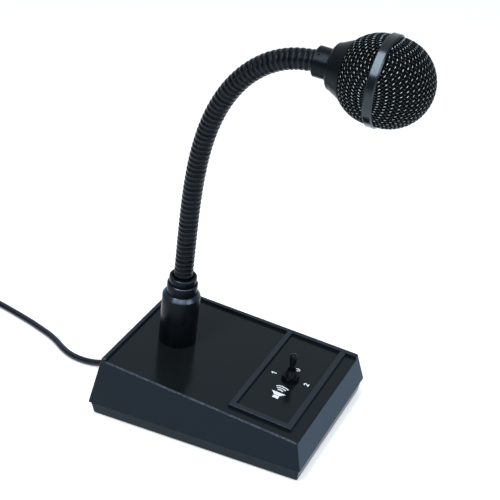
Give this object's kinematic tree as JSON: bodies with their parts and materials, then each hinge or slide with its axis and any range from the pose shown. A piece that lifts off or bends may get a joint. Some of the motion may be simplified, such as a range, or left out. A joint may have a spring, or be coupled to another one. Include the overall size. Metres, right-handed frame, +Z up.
{
  "type": "desktop paging microphone",
  "caption": "Desktop paging microphone: wedge case with a lever switch, a flexible gooseneck and a ball head behind a woven wire grille, with a coiled cord and plug.",
  "frame": {"origin": "on the table under the middle of the outline of the microphone without its cord", "axes": "+Z up, +Y to the rear where the neck and the cord are, -Y towards the speaker, +X to the right"},
  "size_m": [0.11, 0.3981, 0.2806],
  "materials": {
    "case_plastic": "fine-grained moulded ABS, satin",
    "black_rubber": "matt",
    "zinc_steel": "zinc plated",
    "cast_ballast": "raw",
    "moulded_black": "moulded",
    "black_metal": "black, semi-gloss",
    "grille_wire": "black, worn bright on the knuckles",
    "gloss_band": "high gloss",
    "foam": "open-cell foam",
    "cord_sheath": "glossy PVC",
    "plug_metal": "nickel plated",
    "pin_metal": "plated"
  },
  "bodies": {
    "base": {"bottom_tray": "case_plastic", "top_shell": "case_plastic", "rubber_feet": "black_rubber", "case_screws": "zinc_steel", "ballast_plate": "cast_ballast", "switch_body": "moulded_black", "switch_bushing": "black_metal", "switch_washer": "black_metal", "switch_nut": "black_metal", "switch_terminals": "zinc_steel", "neck_column": "black_metal", "neck_collar": "black_metal", "neck_cup": "black_metal", "deck_washer": "zinc_steel", "deck_nut": "zinc_steel", "neck_seg_00": "black_metal", "cord_relief": "black_rubber", "cord_free": "cord_sheath", "cord_coil": "cord_sheath", "coil_tie": "black_rubber", "plug_body": "moulded_black", "plug_shell": "plug_metal", "plug_pins": "pin_metal"},
    "neck_01": {"neck_seg_01": "black_metal"},
    "neck_02": {"neck_seg_02": "black_metal"},
    "neck_03": {"neck_seg_03": "black_metal"},
    "neck_04": {"neck_seg_04": "black_metal"},
    "neck_05": {"neck_seg_05": "black_metal"},
    "neck_06": {"neck_seg_06": "black_metal"},
    "neck_07": {"neck_seg_07": "black_metal"},
    "neck_08": {"neck_seg_08": "black_metal"},
    "neck_09": {"neck_seg_09": "black_metal"},
    "neck_10": {"neck_seg_10": "black_metal"},
    "neck_11": {"neck_seg_11": "black_metal"},
    "neck_12": {"neck_seg_12": "black_metal"},
    "neck_13": {"neck_seg_13": "black_metal"},
    "head": {"neck_seg_14": "black_metal", "head_ferrule": "black_metal", "grub_screw": "black_metal", "head_collar": "black_metal", "rear_grille_warp": "grille_wire", "rear_grille_weft": "grille_wire", "grille_band": "gloss_band", "front_grille_warp": "grille_wire", "front_grille_weft": "grille_wire", "foam_liner": "foam", "capsule": "zinc_steel", "capsule_holder": "moulded_black"},
    "lever": {"switch_lever": "black_metal"}
  },
  "joints": [
    {"name": "neck_sway", "type": "hinge", "parent": "base", "child": "neck_01", "pos_m": [0, 0.05464, 0.10583], "axis": [0, 0.995, 0.1], "range_deg": [-9, 9]},
    {"name": "neck_bend_02", "type": "hinge", "parent": "neck_01", "child": "neck_02", "pos_m": [0, 0.05326, 0.11948], "axis": [1, 0, 0], "range_deg": [-6, 3]},
    {"name": "neck_sway_03", "type": "hinge", "parent": "neck_02", "child": "neck_03", "pos_m": [0, 0.05182, 0.13312], "axis": [0, 0.9938, 0.1116], "range_deg": [-9.05, 9.05]},
    {"name": "neck_bend_04", "type": "hinge", "parent": "neck_03", "child": "neck_04", "pos_m": [0, 0.0502, 0.14674], "axis": [1, 0, 0], "range_deg": [-6.58, 3.29]},
    {"name": "neck_bend_05", "type": "hinge", "parent": "neck_04", "child": "neck_05", "pos_m": [0, 0.04828, 0.16033], "axis": [1, 0, 0], "range_deg": [-7, 3.5]},
    {"name": "neck_sway_06", "type": "hinge", "parent": "neck_05", "child": "neck_06", "pos_m": [0, 0.04586, 0.17383], "axis": [0, 0.9795, 0.2016], "range_deg": [-9.05, 9.05]},
    {"name": "neck_bend_07", "type": "hinge", "parent": "neck_06", "child": "neck_07", "pos_m": [0, 0.04274, 0.1872], "axis": [1, 0, 0], "range_deg": [-8.11, 4.05]},
    {"name": "neck_bend_08", "type": "hinge", "parent": "neck_07", "child": "neck_08", "pos_m": [0, 0.0387, 0.2003], "axis": [1, 0, 0], "range_deg": [-8.78, 4.39]},
    {"name": "neck_sway_09", "type": "hinge", "parent": "neck_08", "child": "neck_09", "pos_m": [0, 0.03347, 0.21299], "axis": [0, 0.9013, 0.4332], "range_deg": [-9.05, 9.05]},
    {"name": "neck_bend_10", "type": "hinge", "parent": "neck_09", "child": "neck_10", "pos_m": [0, 0.02683, 0.225], "axis": [1, 0, 0], "range_deg": [-10.36, 5.18]},
    {"name": "neck_bend_11", "type": "hinge", "parent": "neck_10", "child": "neck_11", "pos_m": [0, 0.01858, 0.23595], "axis": [1, 0, 0], "range_deg": [-11.26, 5.63]},
    {"name": "neck_sway_12", "type": "hinge", "parent": "neck_11", "child": "neck_12", "pos_m": [0, 0.0086, 0.24537], "axis": [0, 0.6111, 0.7915], "range_deg": [-9.05, 9.05]},
    {"name": "neck_bend_13", "type": "hinge", "parent": "neck_12", "child": "neck_13", "pos_m": [0, -0.00304, 0.25264], "axis": [1, 0, 0], "range_deg": [-13.28, 6.64]},
    {"name": "neck_bend_14", "type": "hinge", "parent": "neck_13", "child": "head", "pos_m": [0, -0.01603, 0.25705], "axis": [1, 0, 0], "range_deg": [-14.4, 7.2]},
    {"name": "switch_toggle", "type": "hinge", "parent": "base", "child": "lever", "pos_m": [0.003, -0.02231, 0.03821], "axis": [1, 0, 0], "range_deg": [-12.5, 12.5], "stiffness_Nm_per_rad": 0.05}
  ],
  "couplings": [
    {"joint": "neck_sway_03", "follows": "neck_sway", "ratio": 1},
    {"joint": "neck_sway_06", "follows": "neck_sway", "ratio": 1},
    {"joint": "neck_sway_09", "follows": "neck_sway", "ratio": 1},
    {"joint": "neck_sway_12", "follows": "neck_sway", "ratio": 1}
  ]
}
